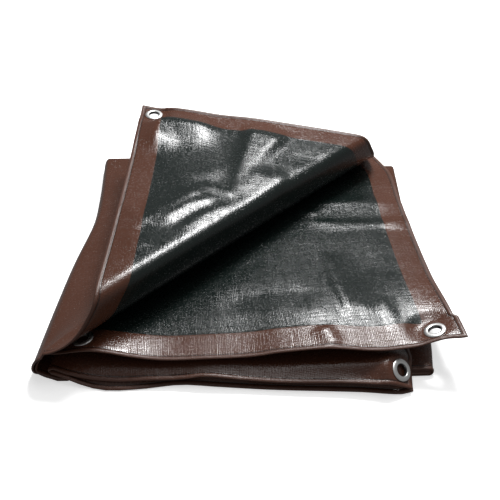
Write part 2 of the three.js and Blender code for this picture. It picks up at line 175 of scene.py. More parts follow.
# %% [markdown]
# ## The turned-back corner
#
# The top layer's corner was picked up and laid back over the pack, so the stiff cloth makes a roll
# along a slanting line and leans on the pack behind it. Bending the mesh with a modifier would stretch
# it. The cloth is wound instead: its length past the line first goes round the roll, which is a little
# squarer than a circle over its top, and the rest runs on straight and climbs gently.

# %% The roll
ROLL_SQUARE = 4.2
ROLL_ANGLE = math.radians(ROLL["angle"])
ALONG = np.array([math.cos(ROLL_ANGLE), math.sin(ROLL_ANGLE)])
ACROSS = np.array([ALONG[1], -ALONG[0]])


def past_roll(x, y):
    return (x - ROLL["x"]) * ACROSS[0] + (y - ROLL["y"]) * ACROSS[1]


def roll_over(flat):
    x, y, z = flat[..., 0], flat[..., 1], flat[..., 2]
    past = past_roll(x, y)
    run = (x - ROLL["x"]) * ALONG[0] + (y - ROLL["y"]) * ALONG[1]
    share = np.clip(run / ROLL["length"], 0, 1)
    radius = mix(ROLL["radius_front"], ROLL["radius_rear"], share)
    climb = np.radians(mix(ROLL["climb_front"], ROLL["climb_rear"], share))
    full_turn = math.pi - climb
    turned = np.minimum(past / radius, full_turn)
    straight = np.maximum(past - radius * full_turn, 0)
    over_top = np.clip((turned - math.pi / 2) / (full_turn - math.pi / 2), 0, 1) * math.pi / 2
    squared = np.abs(np.cos(over_top)) ** ROLL_SQUARE + np.sin(over_top) ** ROLL_SQUARE
    fuller = squared ** (-1 / ROLL_SQUARE)
    across = radius * np.sin(turned) * fuller - straight * np.cos(climb)
    up = radius * (1 - np.cos(turned) * fuller) + straight * np.sin(climb)
    rolled = points(
        ROLL["x"] + run * ALONG[0] + across * ACROSS[0],
        ROLL["y"] + run * ALONG[1] + across * ACROSS[1],
        z + up,
    )
    return np.where((past > 0)[..., None], rolled, flat)


print("roll:", ROLL["angle"], "degrees,", 2 * ROLL["radius_rear"], "mm thick at the rear")

# %% [markdown]
# ## Four panels
#
# Between its turns the folded strip has four panels: top, bottom, middle and lower, each with an outer
# and an inner sheet that meet at the rear fold. A panel is filled in between its own front edge, its
# two ends and the rear line, so that no two layers are quite alike and none cuts through another.

# %% The four panels
LEFT_TOP_LOW, LEFT_TOP_RISE, LEFT_TOP_FADE = 20, 11, 55
TOP_INSET_FRONT, TOP_INSET_REAR = 13, 5
BOTTOM_INSET_FRONT, BOTTOM_INSET_REAR = 3, 5
REAR_SETBACK = 2
TAB_FROM = 0.9
TOP_LEVEL_FADE = 110
TOP_TURN_SHARE, TOP_LEVEL_SHARE = 0.1, 0.7
LOWER_OUTER_LAYER, LOWER_INNER_LAYER = 4.6, 5.6
LOWER_FOLD_LEVEL, LOWER_FOLD_WIDTH = 9.8, 40
RIDGE_RISE, RIDGE_FADE = (0, 20), (34, 90)
APRON_EASE, LOWER_EASE = (-2, 23), (-6, 20)


def rear_of(share):
    return mix(REAR_LEFT, REAR_RIGHT, share)


def left_side(y):
    return curve(LEFT_SIDE, "y", y, "x")


def left_top(back):
    return LEFT_TOP_LOW + LEFT_TOP_RISE * np.exp(-back / LEFT_TOP_FADE)


def flap_panel(left_front, share, back):
    """The outer sheet of the top panel, flat as far as the roll's line and then wound over it."""
    q = back / DEPTH
    front = mix(left_front, FLAP_CORNER["x"], share)
    slope = math.tan(math.radians(FLAP_CORNER["front_slope"]))
    y = mix(FLAP_CORNER["y"] - (FLAP_CORNER["x"] - front) * slope, rear_of(share), q)
    left = left_side(y) + mix(TOP_INSET_FRONT, TOP_INSET_REAR, q)
    x = mix(left, mix(FLAP_CORNER["x"], FLAP_END_REAR, q), share)
    line_x = ROLL["x"] - (y - ROLL["y"]) * ACROSS[1] / ACROSS[0]
    towards_roll = np.clip((x - left) / np.maximum(line_x - left, 1), 0, 1)
    return roll_over(points(x, y, mix(left_top(back), ROLL["height"], ease(towards_roll, 0, 1))))


def top_panel(outer, share, back):
    q = back / DEPTH
    left_front = LEFT_SIDE["x"][0] + TOP_INSET_FRONT
    if outer:
        return flap_panel(left_front, share, back)
    front = mix(left_front, TOP_FRONT["x"][-1], share)
    y = mix(curve(TOP_FRONT, "x", front, "y"), rear_of(share), q)
    left = left_side(y) + mix(TOP_INSET_FRONT, TOP_INSET_REAR, q) + LAYER_PITCH
    tab = HEM_TAB * ease(share, TAB_FROM, 1) * (1 - ease(back, HEM - 1, HEM + 2))
    x = mix(left, curve(TOP_END, "y", y, "x") + tab, share)
    at_turn = left_top(back) - LAYER_PITCH
    inside = mix(at_turn, curve(TOP_END, "y", y, "z"), ease(share, 0, TOP_LEVEL_SHARE))
    level = mix(curve(TOP_FRONT, "x", front, "z"), inside, ease(back, 0, TOP_LEVEL_FADE))
    return points(x, y, mix(at_turn, level, ease(share, 0, TOP_TURN_SHARE)))


def fold_right(q):
    return curve(RIGHT_FOLD, "y", mix(BOTTOM_FRONT["y"][-1], REAR_RIGHT, q), "x")


def side_at(q):
    return left_side(mix(BOTTOM_FRONT["y"][0], REAR_LEFT, q))


def inner_fold(q):
    return side_at(q) + INNER_FOLD_INSET


def flat_panel(front, x, q, z):
    share = ease(x, LEFT_SIDE["x"][0], RIGHT_FOLD["x"][0])
    return points(x, mix(curve(front, "x", x, "y"), rear_of(share) - REAR_SETBACK, q), z)


def bottom_panel(outer, share, back):
    q = back / DEPTH
    inset = mix(BOTTOM_INSET_FRONT, BOTTOM_INSET_REAR, q) + (0 if outer else LAYER_PITCH)
    x = mix(side_at(q) + inset, fold_right(q), share)
    return flat_panel(BOTTOM_FRONT, x, q, layer_height(0 if outer else 1))


def middle_panel(outer, share, back):
    q = back / DEPTH
    x = mix(fold_right(q), inner_fold(q), share)
    return flat_panel(MIDDLE_FRONT, x, q, layer_height(3 if outer else 2))


def lower_panel(outer, share, back):
    q = back / DEPTH
    x = mix(inner_fold(q), mix(LOWER_END_FRONT, LOWER_END_REAR, q), share)
    front, layer = (APRON_FRONT, LOWER_OUTER_LAYER) if outer else (LOWER_FRONT, LOWER_INNER_LAYER)
    place = flat_panel(front, x, q, layer_height(layer))
    rise = curve(LOWER_RIDGE, "x", x, "rise")
    level = place[..., 2] + rise * (1 - ease(back, *RIDGE_FADE)) * ease(back, *RIDGE_RISE)
    if outer:
        past_fold = ease(x - inner_fold(q), 0, LOWER_FOLD_WIDTH)
        at_edge = mix(LOWER_FOLD_LEVEL, layer_height(0), past_fold)
        place[..., 2] = mix(at_edge, level, ease(back, *APRON_EASE))
    else:
        place[..., 2] = mix(curve(LOWER_FRONT, "x", x, "z"), level, ease(back, *LOWER_EASE))
    return place


corner = top_panel(True, np.array(1.0), np.array(0.0))
print("the turned-back corner lies at", [round(float(v), 1) for v in corner], "mm")

# %% [markdown]
# ## Turns and eyelet seats
#
# A fold in stiff cloth is a half turn with a belly. The eyelets are pressed in while the cloth is
# flat, and their flanges hold it flat afterwards, so each seat is a small plane that the cloth eases
# into.

# %% Turns between the panels, and the cloth pressed flat round the eyelets
PANELS = {"bottom": bottom_panel, "middle": middle_panel, "lower": lower_panel}
HALF_PITCH = LAYER_PITCH / 2
RIGHT_TURN_BULGE = {True: 3, False: 1}
INNER_TURN_BULGE = {True: 2.2, False: 4.4}


def half_turn(start, end, angle, bulge, lean):
    down = (1 - np.cos(angle)) / 2
    place = start + (end - start) * down[..., None]
    place[..., 0] += bulge * np.sin(angle) + lean * np.sin(angle) * down
    return place


def section_points(name, outer, share, back):
    """Places of a section's outer or inner sheet, from shares along it and distances back."""
    if name == "top":
        return top_panel(outer, 1 - share, back)
    if name in PANELS:
        return PANELS[name](outer, share, back)
    if name == "outer_turn":
        start, end = top_panel(outer, 0, back), bottom_panel(outer, 0, back)
        bulge, lean = (0 if outer else HALF_PITCH) - TURN_BULGE, -TURN_FOOT
    elif name == "right_turn":
        start, end = bottom_panel(outer, 1, back), middle_panel(outer, 0, back)
        bulge, lean = HALF_PITCH * RIGHT_TURN_BULGE[outer], 0
    else:
        start, end = middle_panel(outer, 1, back), lower_panel(outer, 0, back)
        bulge, lean = -HALF_PITCH * INNER_TURN_BULGE[outer], 0
    return half_turn(start, end, share * math.pi + 0 * back, bulge, lean)


def place_seat(name, strip, share, back, lean):
    section, outer = STRIPS[strip]
    place = section_points(section, outer, np.array([[share]]), np.array([[back]]))[0, 0]
    up = np.array([*lean, 1.0])
    up = up / np.linalg.norm(up)
    return {"name": name, "section": section, "outer": outer, "place": place, "up": up}


SEATS = [place_seat(*row) for row in EYELETS]


def press_flat(name, outer, place):
    for seat in SEATS:
        if seat["section"] != name:
            continue
        away = place - seat["place"]
        hold = 1 - ease(np.linalg.norm(away, axis=-1), SEAT_FLAT, SEAT_END)
        above = away @ seat["up"]
        if seat["outer"] == outer:
            place = place - (hold * above)[..., None] * seat["up"]
        elif name == "lower":
            sink = hold * np.maximum(above + SEAT_CLEAR, 0) / seat["up"][2]
            place[..., 2] = np.maximum(place[..., 2] - sink, layer_height(0))
    return place


print("eyelet seats:", [[round(v, 1) for v in seat["place"]] for seat in SEATS])

# %% [markdown]
# ## The grid of the sheet
#
# The sheet is one grid: columns run along the folded strip, and rows run over its outer sheet, round
# the rear fold and forward again along its inner sheet. Rows and columns are close together at the
# free edges, where the hem ends in a round bead, and wider where layers are hidden.

# %% Columns and rows
BEAD_STEPS = [0, 0.3, 0.8, 1.6, 2.5, 3.4, 4.1, 4.6, 5.3, 6.8, 9.0]
HEM_STEPS = [24, 27.5, 29.5, HEM, 33]
TOP_SPAN, LOWER_SPAN = 424.0, 345.0
TOP_WIDTH_REAR = 360.0


def spaced(start, stop, step):
    count = max(1, round((stop - start) / step))
    return list(np.linspace(start, stop, count + 1))


def from_edge(length, fine, step):
    """Distances from a free edge: the bead, the eyelets, the hem's inner edge and then the rest."""
    near = BEAD_STEPS + spaced(11, fine, 2) + [place for place in HEM_STEPS if place > fine + 1.5]
    return near + spaced(near[-1] + 3, length, step)


# Closer columns at the free end, and again round the front eyelet near the other end
top_places = from_edge(381, 33, 4.2) + spaced(383, 399, 2) + spaced(402, TOP_SPAN, 3.6)
lower_places = from_edge(LOWER_SPAN, 21, 13)
shares_along = {
    "top": np.array(top_places) / TOP_SPAN,
    "outer_turn": np.linspace(0, 1, 14)[1:],
    "bottom": np.array([0.01, 0.022, 0.036, 0.055, 0.08, 0.12, 0.2, 0.35, 0.5, 0.65, 0.8, 0.93, 1]),
    "right_turn": np.linspace(0, 1, 10)[1:],
    "middle": np.array([0.07, 0.2, 0.35, 0.5, 0.65, 0.8, 0.9, 0.95, 0.98, 1]),
    "inner_turn": np.linspace(0, 1, 9)[1:],
    "lower": 1 - np.array(lower_places)[::-1] / LOWER_SPAN,
}
print("columns:", {name: len(shares) for name, shares in shares_along.items()})
BACKS = np.array(from_edge(DEPTH, 27, 4.2))
REAR_ANGLES = math.pi * np.arange(1, 5) / 5


def place_columns(name):
    """A section's columns, row by row; those by the free end keep their distance from it."""
    share = np.repeat(shares_along[name][:, None], len(BACKS), 1)
    if name == "top":
        narrow = TOP_SPAN / mix(TOP_SPAN, TOP_WIDTH_REAR, BACKS / DEPTH) - 1
        share = share * (1 + narrow * (1 - share) ** 2)
    return share


def section_grid(name):
    share, back = place_columns(name), BACKS[None, :]
    outer = press_flat(name, True, section_points(name, True, share, back))
    inner = press_flat(name, False, section_points(name, False, share, back))
    centre = (outer[:, -1] + inner[:, -1]) / 2
    half = (outer[:, -1] - inner[:, -1]) / 2
    reach = np.linalg.norm(half, axis=-1)
    rearwards = np.outer(reach, [0, 1, 0])
    rear = [centre + half * math.cos(a) + rearwards * math.sin(a) for a in REAR_ANGLES]
    return np.concatenate([outer, np.stack(rear, 1), inner[:, ::-1]], 1)


cloth = np.concatenate([section_grid(name) for name in shares_along])
first_column = np.cumsum([0] + [len(shares) for shares in shares_along.values()])
section_of = {
    name: slice(first_column[i], first_column[i + 1]) for i, name in enumerate(shares_along)
}
OUTER_ROWS = slice(0, len(BACKS))
INNER_ROWS = slice(len(BACKS) + len(REAR_ANGLES), None)
print("sheet:", cloth.shape[0], "columns by", cloth.shape[1], "rows")

# %% [markdown]
# ## Creases
#
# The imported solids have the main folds. The cloth itself also remembers how it was packed before: it
# has soft ridges with one steep and one gentle side, and shallow swellings. Each is a row in a small
# table, in millimetres over the pack: a path, a height, and how far its left and right sides reach.

# %% Creases and swellings of the two layers on top
FLAP_CREASES = [
    # path, height, reach to the left, reach to the right
    ([(-119, 80), (-112, 144), (-28, 129)], 7.6, 30, 46),
    ([(-14, 121), (-15, 63), (-12, -2)], 1.6, 40, 18),
    ([(-14, 126), (16, 122), (44, 104)], 7.0, 30, 104),
    ([(46, 92), (66, 80), (96, 84)], -0.8, 24, 20),
    ([(-4, 52), (20, 40), (46, 44)], 2.2, 20, 34),
    ([(-116, -50), (-80, -10), (-44, 22)], 4.0, 36, 24),
    ([(-100, -50), (-66, -16), (-30, 6)], 2.0, 9, 16),
    ([(-76, -60), (-50, -30), (-16, -6)], 1.5, 8, 12),
    ([(-58, 24), (-34, 15), (-14, 3)], 1.6, 7, 10),
    ([(-104, 36), (-60, 40), (-20, 60)], 1.2, 30, 20),
    ([(-134, -8), (-124, -34), (-104, -50)], 2.0, 12, 22),
    ([(-128, -62), (-118, -78), (-100, -84)], 1.4, 10, 16),
]
FLAP_SWELLINGS = [
    # middle, radii, height
    ((-43, 152), (26, 20), -2.4),
    ((-108, 150), (56, 54), 3.4),
    ((4, 156), (34, 16), 0.8),
    ((-112, 158), (16, 12), -1.2),
]
TOP_CREASES = [
    ([(83, -22), (91, -89), (104, -150)], 2.6, 34, 9),
    ([(131, -104), (138, -128), (146, -160)], 1.0, 16, 9),
    ([(62, 66), (112, 73), (192, 70)], 2.6, 24, 30),
    ([(56, 34), (108, 28), (186, 31)], 1.6, 9, 16),
    ([(52, 64), (66, 52), (84, 50)], 1.8, 9, 12),
    ([(70, -150), (76, -164), (82, -180)], 2.2, 12, 16),
    ([(-40, -112), (20, -100), (84, -104)], -1.6, 26, 34),
    ([(104, -126), (132, -132), (150, -130)], 1.2, 22, 20),
]
TOP_SWELLINGS = [
    ((-110, -160), (30, 24), 1.0),
    ((176, 30), (16, 12), 1.6),
    ((120, -60), (34, 40), -1.4),
]
CREST, FALL, CREASE_END = 1.2, 1.4, 0.25
SEAT_BARE, SEAT_FREE = 12, 26
FLAP_FROM, FLAP_FULL = 78, 84
ROLL_FROM, ROLL_FULL = -5, 25


def across_sheet(places, axis):
    """The way from each grid point's neighbour before it to the one after it."""
    ahead = np.diff(places, axis=axis)
    ends = np.take(ahead, [0], axis), np.take(ahead, [-1], axis)
    inside = (ahead[1:] + ahead[:-1]) / 2 if axis == 0 else (ahead[:, 1:] + ahead[:, :-1]) / 2
    return np.concatenate([ends[0], inside, ends[1]], axis)


def sheet_normals(places):
    normals = np.cross(across_sheet(places, 0), across_sheet(places, 1))
    return normals / np.maximum(np.linalg.norm(normals, axis=-1, keepdims=True), 1e-9)


def crease_height(flat_xy, path, height, left, right):
    """Height beside a crease: a rounded crest, and sides that reach as far as left and right say."""
    path = np.array(path, float)
    lengths = np.linalg.norm(np.diff(path, axis=0), axis=-1)
    best = np.full(flat_xy.shape[:-1], 1e9)
    found = np.zeros_like(best)
    for i, length in enumerate(lengths):
        way = (path[i + 1] - path[i]) / length
        offset = flat_xy - path[i]
        run = np.clip(offset @ way, 0, length)
        distance = np.linalg.norm(offset - run[..., None] * way, axis=-1)
        side = way[0] * offset[..., 1] - way[1] * offset[..., 0]
        along = (lengths[:i].sum() + run) / lengths.sum()
        ends = ease(along, 0, CREASE_END) * (1 - ease(along, 1 - CREASE_END, 1))
        reach = np.where(side > 0, left, right)
        fall = np.clip(1 - (np.hypot(distance, CREST) - CREST) / reach, 0, 1) ** FALL
        nearer = distance < best
        best = np.where(nearer, distance, best)
        found = np.where(nearer, height * ends * fall, found)
    return found


def relief(places, creases, swellings):
    flat_xy = places[..., :2]
    total = sum(crease_height(flat_xy, *row) for row in creases)
    for middle, radii, height in swellings:
        total = total + height * np.exp(-(((flat_xy - middle) / radii) ** 2).sum(-1))
    for seat in SEATS:
        away = np.linalg.norm(places - seat["place"], axis=-1)
        total = total * ease(away, SEAT_BARE, SEAT_FREE)
    return total


def raise_cloth(section, rows, creases, swellings, weight):
    patch = cloth[section_of[section], rows]
    up = sheet_normals(patch)
    lift = relief(patch, creases, swellings) * weight(patch)
    patch += up * lift[..., None]
    print(section, "relief from", round(lift.min(), 1), "to", round(lift.max(), 1), "mm")


def on_flap(patch):
    return ease(patch[..., 2], FLAP_FROM, FLAP_FULL)


def beside_roll(patch):
    return ease(past_roll(patch[..., 0], patch[..., 1]), ROLL_FROM, ROLL_FULL)


raise_cloth("top", OUTER_ROWS, FLAP_CREASES, FLAP_SWELLINGS, on_flap)
raise_cloth("top", INNER_ROWS, TOP_CREASES, TOP_SWELLINGS, beside_roll)

# %% [markdown]
# The flat place of each grid point is measured on the folded sheet itself, along the rows and along
# the columns. It carries the weave, and the distance from the nearest free edge tells hem from field.

# %% Flat places and edge distances
def running_length(places, axis):
    steps = np.linalg.norm(np.diff(places, axis=axis), axis=-1)
    start = np.zeros_like(np.take(steps, [0], axis))
    return np.concatenate([start, np.cumsum(steps, axis)], axis)


flat_u = running_length(cloth, 0)
flat_v = running_length(cloth, 1)
edge = np.minimum.reduce([flat_u, flat_u[-1:] - flat_u, flat_v, flat_v[:, -1:] - flat_v])

# %% [markdown]
# ## Holes for the eyelets
#
# A punch cuts the cloth before the eyelet is pressed in. The grid points round each seat are pushed
# outwards, to a ring that the flange covers, and the cells inside that ring are left out. Only cloth
# that lies in the seat is punched, not the layers above and below it.

# %% Punched holes
HOLE_RING, PUSH_END, PUNCH = 6.9, 12.0, 3.2
PUNCH_REACH, OUT_OF_REACH, CENTRE = 4, 1e3, 0.2
cells_kept = np.ones((cloth.shape[0] - 1, cloth.shape[1] - 1), bool)
for seat in SEATS:
    rows = OUTER_ROWS if seat["outer"] else INNER_ROWS
    patch = cloth[section_of[seat["section"]], rows]
    away = patch - seat["place"]
    above = away @ seat["up"]
    away -= above[..., None] * seat["up"]
    radius = np.linalg.norm(away, axis=-1)
    radius = radius + np.where(np.abs(above) < PUNCH_REACH, 0, OUT_OF_REACH)
    cell_radius = (radius[1:, 1:] + radius[:-1, :-1] + radius[1:, :-1] + radius[:-1, 1:]) / 4
    kept = cells_kept[section_of[seat["section"]], rows.start : rows.start + radius.shape[1] - 1]
    kept[: radius.shape[0] - 1][cell_radius < PUNCH] = False
    pushed = HOLE_RING + radius * (PUSH_END - HOLE_RING) / PUSH_END
    move = np.where(radius < PUSH_END, pushed / np.maximum(radius, CENTRE) - 1, 0)
    patch += away * move[..., None]
print("cells left out:", int((~cells_kept).sum()))

# %% [markdown]
# ## Thickness
#
# The cloth is a thin laminate, with a second layer where the edge is turned over for the hem. The edge
# is turned tightly, so the hem ends in a round bead with a groove beside it. The green face takes all
# of the hem's extra thickness, because the edge is turned over to that side.

# %% Two skins
FIELD_HALF, HEM_HALF, HEM_EXTRA, BROWN_EXTRA = 0.34, 0.42, 0.08, 0.05
BEAD_WIDTH, BEAD_HALF, EDGE_HALF, GROOVE, GROOVE_END = 4.6, 1.15, 0.15, 0.3, 6.8
HEM_FADE = 2
FLOOR_CLEAR = 0.02

normals = sheet_normals(cloth)
half_bead = BEAD_WIDTH / 2
bead = BEAD_HALF * np.sqrt(np.clip(1 - ((edge - half_bead) / half_bead) ** 2, 0, 1))
past_groove = ease(edge, BEAD_WIDTH, GROOVE_END)
past_hem = ease(edge, HEM - HEM_FADE, HEM + HEM_FADE)
level = np.where(edge < BEAD_WIDTH, EDGE_HALF, GROOVE + (HEM_HALF - GROOVE) * past_groove)
doubled = HEM_EXTRA * past_groove * (1 - past_hem)
green_half = np.maximum(bead, mix(level, FIELD_HALF, past_hem) + doubled)
brown_half = np.maximum(bead, np.minimum(level, FIELD_HALF + BROWN_EXTRA))
green_skin = cloth + normals * green_half[..., None]
brown_skin = cloth - normals * brown_half[..., None]
for skin in (green_skin, brown_skin):
    skin[..., 2] = np.maximum(skin[..., 2], FLOOR_CLEAR)
print("cloth thickness:", round(float(np.median(green_half + brown_half)), 2), "mm")


def sheet_faces(kept, offset):
    """Quads of both skins, and walls wherever a kept cell has no kept neighbour."""
    columns, rows = kept.shape[0] + 1, kept.shape[1] + 1
    index = np.arange(columns * rows).reshape(columns, rows)
    a, b, c, d = index[:-1, :-1], index[1:, :-1], index[1:, 1:], index[:-1, 1:]
    front = np.stack([a, b, c, d], -1)[kept]
    back = np.stack([d, c, b, a], -1)[kept] + offset
    padded = np.pad(kept, 1)
    walls = []
    sides = [
        (slice(1, -1), slice(0, -2), a, b),
        (slice(1, -1), slice(2, None), c, d),
        (slice(2, None), slice(1, -1), b, c),
        (slice(0, -2), slice(1, -1), d, a),
    ]
    for rows_at, columns_at, start, end in sides:
        open_side = kept & ~padded[rows_at, columns_at]
        s, e = start[open_side], end[open_side]
        walls.append(np.stack([e, s, s + offset, e + offset], -1))
    return np.concatenate([front, back, *walls])


def make_mesh(name, vertices, faces):
    """A smooth-shaded object from places in millimetres."""
    mesh = bpy.data.meshes.new(name)
    places = (np.asarray(vertices) * MM).tolist()
    mesh.from_pydata(places, [], [list(map(int, face)) for face in faces])
    mesh.update()
    mesh.polygons.foreach_set("use_smooth", [True] * len(mesh.polygons))
    made = bpy.data.objects.new(name, mesh)
    bpy.context.scene.collection.objects.link(made)
    return made


shift = np.array([*PACK_SHIFT, 0.0])
skin_points = cloth.shape[0] * cloth.shape[1]
corners = np.concatenate([green_skin.reshape(-1, 3), brown_skin.reshape(-1, 3)]) + shift
faces = sheet_faces(cells_kept, skin_points)
tarp = make_mesh("tarp_cloth_sheet", corners, faces)
print("tarp:", len(corners), "points,", 2 * len(faces), "triangles")
cells = np.cross(np.diff(cloth, axis=0)[:, :-1], np.diff(cloth, axis=1)[:-1])
area = np.linalg.norm(cells, axis=-1).sum() * MM**2
print("area of the middle of the cloth:", round(area, 3), "square metres")

# %% [markdown]
# The finish has to know three things about each point: how far it is from a free edge, which face it
# is on, and where it was when the sheet was flat. They are kept as attributes of the mesh, so the
# weave runs straight along the cloth and follows it round every fold.

# %% Attributes for the finish
def point_attribute(made, name, values):
    values = np.asarray(values, np.float32).ravel()
    made.data.attributes.new(name, "FLOAT", "POINT").data.foreach_set("value", values)


point_attribute(tarp, "edge", np.concatenate([edge, edge]))
point_attribute(tarp, "green_face", np.concatenate([np.ones(skin_points), np.zeros(skin_points)]))
flat = tarp.data.attributes.new("flat", "FLOAT_VECTOR", "POINT")
flat_points = np.stack([flat_u, flat_v, 0 * flat_u], -1).reshape(-1, 3) * MM
flat.data.foreach_set("vector", np.concatenate([flat_points, flat_points]).astype(np.float32).ravel())
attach(tarp, "root")
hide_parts("tarp_sheet", "hem_flap", "hem_top", "hem_lower")
print("attributes:", [name for name in ("edge", "green_face", "flat") if name in tarp.data.attributes])

# %% [markdown]
# ## Eyelets
#
# An eyelet is two pressed rings of thin aluminium. The domed ring has a funnel that goes through the
# hem and is rolled out over the flat ring at the back. Its section is turned round the seat's axis.

# %% Turned eyelets
EYELET_SECTION = [
    # radius and height: the funnel's mouth, the domed flange, its rim, and the rolled end at the back
    (5.8, -1.5), (5.8, 0.2), (5.95, 1.0), (6.35, 1.7), (7.0, 2.05),
    (8.0, 2.15), (9.2, 2.0), (10.2, 1.65), (10.8, 1.2), (11.0, 0.85),
    (10.8, 0.62), (6.6, 0.62), (6.6, -0.62), (10.7, -0.62), (10.95, -0.85),
    (10.8, -1.15), (9.8, -1.55), (8.2, -1.8), (6.8, -1.85), (6.1, -1.75),
]
SEGMENTS = 72


def turned(section, seat):
    """Places and faces of a section turned round the seat's axis."""
    up = Vector(seat["up"])
    side = up.orthogonal().normalized()
    front = up.cross(side)
    turns = [math.tau * i / SEGMENTS for i in range(SEGMENTS)]
    ring = [np.array(side * math.cos(t) + front * math.sin(t)) for t in turns]
    middle = seat["place"] + shift
    places = [middle + radius * way + z * seat["up"] for way in ring for radius, z in section]
    count = len(section)
    quads = []
    for i in range(SEGMENTS):
        here, after = i * count, (i + 1) % SEGMENTS * count
        for k in range(count):
            following = (k + 1) % count
            quads.append((here + k, here + following, after + following, after + k))
    return places, quads


eyelets = []
for seat in SEATS:
    ring = make_mesh(seat["name"] + "_ring", *turned(EYELET_SECTION, seat))
    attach(ring, "root")
    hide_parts(seat["name"])
    point_attribute(ring, "radius", [radius for radius, _ in EYELET_SECTION] * SEGMENTS)
    eyelets.append(ring)
print("eyelets:", len(eyelets), "with", len(eyelets[0].data.polygons), "faces each")

# %% [markdown]
# ## Finishes
#
# Shader nodes read better as sums, so one small class wraps a socket and turns arithmetic into nodes.

# %% A socket that can be used in arithmetic
class Wire:
    """A socket whose sums, products and powers are math nodes of the same tree."""

    def __init__(self, tree, socket):
        self.tree, self.socket = tree, socket

    def node(self, kind, settings=None, output=0, **inputs):
        """Any other node: type and settings, then values or wires by input name or n and number."""
        made = self.tree.nodes.new(kind)
        for key, value in (settings or {}).items():
            setattr(made, key, value)
        for key, value in inputs.items():
            numbered = key[0] == "n" and key[1:].isdigit()
            place = made.inputs[int(key[1:]) if numbered else key.replace("_", " ")]
            if isinstance(value, Wire):
                self.tree.links.new(value.socket, place)
            else:
                place.default_value = value
        return Wire(self.tree, made.outputs[output])

    def math(self, operation, *values):
        inputs = {f"n{i}": value for i, value in enumerate((self, *values))}
        return self.node("ShaderNodeMath", {"operation": operation}, **inputs)

    def __add__(self, other):
        return self.math("ADD", other)

    __radd__ = __add__

    def __mul__(self, other):
        return self.math("MULTIPLY", other)

    __rmul__ = __mul__

    def __sub__(self, other):
        return self.math("SUBTRACT", other)

    def __rsub__(self, other):
        return (self * -1) + other

    def __truediv__(self, other):
        return self.math("DIVIDE", other)

    def __pow__(self, other):
        return self.math("POWER", other)

    def step(self, low, high):
        """A soft step from 0 at low to 1 at high."""
        settings = {"interpolation_type": "SMOOTHSTEP"}
        return self.node("ShaderNodeMapRange", settings, n0=self, n1=low, n2=high)

    def pick(self, off, on):
        """The colour off where this wire is 0, and on where it is 1."""
        return self.node("ShaderNodeMix", {"data_type": "RGBA"}, output=2, n0=self, n6=off, n7=on)


def new_finish(name, **constants):
    """A material with its constants set, its shader, and a wire that starts new nodes."""
    made = bpy.data.materials.new(name)
    made.use_nodes = True
    shader = made.node_tree.nodes["Principled BSDF"]
    for key, value in constants.items():
        shader.inputs[key.replace("_", " ")].default_value = value
    return made, shader, Wire(made.node_tree, None)


def connect(start, shader, name):
    start.tree.links.new(start.socket, shader.inputs[name])


def attribute(start, name, output="Fac"):
    return start.node("ShaderNodeAttribute", {"attribute_name": name}, output=output)


def noise(start, place, scale, detail):
    return start.node("ShaderNodeTexNoise", Vector=place, Scale=scale, Detail=detail)


# %% [markdown]
# The cloth is woven from flat tapes 1.7 mm wide and coated on both faces, so it shines like thin film
# over a fine check of little pillows. Tapes are never quite alike: some lie higher than others, some
# crossings stand proud or are duller, and thick and thin stretches draw long lines through the
# highlights along both directions of the weave. All of that is a fine relief of the surface, because
# the tapes have one colour. It is far too fine to model as threads.

# %% The weave
TAPE = 0.0017
PILLOW_ROUNDNESS = 0.6
WARP_SEED, WEFT_SEED = 17, 91
SLUB_ALONG, SLUB_ACROSS = 36.0, 620.0
RIPPLE_SCALE = 70.0
RELIEF_DEPTH = 0.000066

cloth_finish, shader, start = new_finish("coated_weave")
flat_place = attribute(start, "flat", "Vector")
flat_x = start.node("ShaderNodeSeparateXYZ", n0=flat_place)
flat_y = Wire(start.tree, flat_x.socket.node.outputs[1])
along, across = flat_x / TAPE, flat_y / TAPE
check = (along * math.pi).math("SINE") * (across * math.pi).math("SINE")
pillow = check.math("ABSOLUTE") ** PILLOW_ROUNDNESS


def tape_random(place, seed):
    """One random height for each tape."""
    number = place.math("FLOOR") + seed
    return number.node("ShaderNodeTexWhiteNoise", {"noise_dimensions": "1D"}, W=number)


def stretched_noise(x_scale, y_scale):
    """Noise that is drawn out along one direction of the threads."""
    scaled = start.node("ShaderNodeCombineXYZ", n0=flat_x * x_scale, n1=flat_y * y_scale, n2=0.0)
    return noise(start, scaled, 1.0, 2.0)


warp_on_top = check.step(-0.05, 0.05)
warp_height, weft_height = tape_random(along, WARP_SEED), tape_random(across, WEFT_SEED)
tape_height = warp_on_top * warp_height + (1 - warp_on_top) * weft_height
crossing = start.node("ShaderNodeCombineXYZ", n0=along.math("FLOOR"), n1=across.math("FLOOR"), n2=0.0)
crossing_height = start.node("ShaderNodeTexWhiteNoise", {"noise_dimensions": "2D"}, Vector=crossing)
slubs = stretched_noise(SLUB_ACROSS, SLUB_ALONG) + stretched_noise(SLUB_ALONG, SLUB_ACROSS)
ripple = noise(start, flat_place, RIPPLE_SCALE, 2.0)
tapes = pillow * (0.5 + 1.0 * tape_height) + tape_height * 0.6 + crossing_height * 0.9
height = tapes + slubs * 2.1 + ripple * 2.0
weave = start.node("ShaderNodeBump", Height=height, Strength=1.0, Distance=RELIEF_DEPTH)
connect(weave, shader, "Normal")
